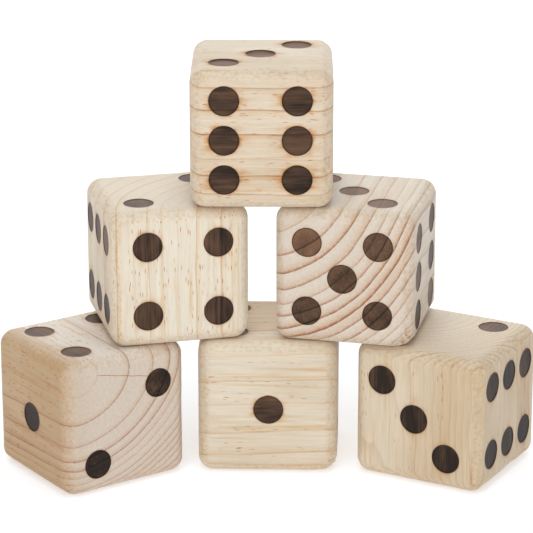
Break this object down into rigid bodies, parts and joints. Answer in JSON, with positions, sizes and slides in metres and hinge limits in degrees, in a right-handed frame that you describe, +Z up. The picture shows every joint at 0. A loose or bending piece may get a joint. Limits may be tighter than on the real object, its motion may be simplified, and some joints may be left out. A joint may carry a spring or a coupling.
{
  "type": "giant yard dice set",
  "caption": "Set of solid pine yard dice with rounded edges and burnt-in pips, stacked as a small pyramid; each die lifts or slides out of the stack.",
  "frame": {"origin": "on the ground, under the middle of the stack's bounding box", "axes": "+X to the right along the rows, +Y to the back, +Z up; the faces that the players see are towards -Y"},
  "size_m": [0.3422, 0.132, 0.2667],
  "materials": {
    "pine": "sanded smooth, unvarnished, satin",
    "burnt_pine": "burnt in with a hot stamp, matt"
  },
  "bodies": {
    "bottom_centre_die": {"bottom_centre_block": "pine", "bottom_centre_pips_one": "burnt_pine", "bottom_centre_pips_two": "burnt_pine", "bottom_centre_pips_three": "burnt_pine", "bottom_centre_pips_four": "burnt_pine", "bottom_centre_pips_five": "burnt_pine", "bottom_centre_pips_six": "burnt_pine"},
    "bottom_left_die": {"bottom_left_block": "pine", "bottom_left_pips_one": "burnt_pine", "bottom_left_pips_two": "burnt_pine", "bottom_left_pips_three": "burnt_pine", "bottom_left_pips_four": "burnt_pine", "bottom_left_pips_five": "burnt_pine", "bottom_left_pips_six": "burnt_pine"},
    "bottom_right_die": {"bottom_right_block": "pine", "bottom_right_pips_one": "burnt_pine", "bottom_right_pips_two": "burnt_pine", "bottom_right_pips_three": "burnt_pine", "bottom_right_pips_four": "burnt_pine", "bottom_right_pips_five": "burnt_pine", "bottom_right_pips_six": "burnt_pine"},
    "middle_left_die": {"middle_left_block": "pine", "middle_left_pips_one": "burnt_pine", "middle_left_pips_two": "burnt_pine", "middle_left_pips_three": "burnt_pine", "middle_left_pips_four": "burnt_pine", "middle_left_pips_five": "burnt_pine", "middle_left_pips_six": "burnt_pine"},
    "middle_right_die": {"middle_right_block": "pine", "middle_right_pips_one": "burnt_pine", "middle_right_pips_two": "burnt_pine", "middle_right_pips_three": "burnt_pine", "middle_right_pips_four": "burnt_pine", "middle_right_pips_five": "burnt_pine", "middle_right_pips_six": "burnt_pine"},
    "top_die": {"top_block": "pine", "top_pips_one": "burnt_pine", "top_pips_two": "burnt_pine", "top_pips_three": "burnt_pine", "top_pips_four": "burnt_pine", "top_pips_five": "burnt_pine", "top_pips_six": "burnt_pine"}
  },
  "joints": [
    {"name": "top_lift", "type": "slide", "parent": "bottom_centre_die", "child": "top_die", "axis": [0, 0, 1], "range_m": [0, 0.12]},
    {"name": "middle_left_slide", "type": "slide", "parent": "bottom_centre_die", "child": "middle_left_die", "axis": [-1, 0, 0], "range_m": [0, 0.17]},
    {"name": "middle_right_slide", "type": "slide", "parent": "bottom_centre_die", "child": "middle_right_die", "axis": [1, 0, 0], "range_m": [0, 0.17]},
    {"name": "bottom_left_slide", "type": "slide", "parent": "bottom_centre_die", "child": "bottom_left_die", "axis": [-1, 0, 0], "range_m": [0, 0.12]},
    {"name": "bottom_right_slide", "type": "slide", "parent": "bottom_centre_die", "child": "bottom_right_die", "axis": [1, 0, 0], "range_m": [0, 0.12]}
  ]
}
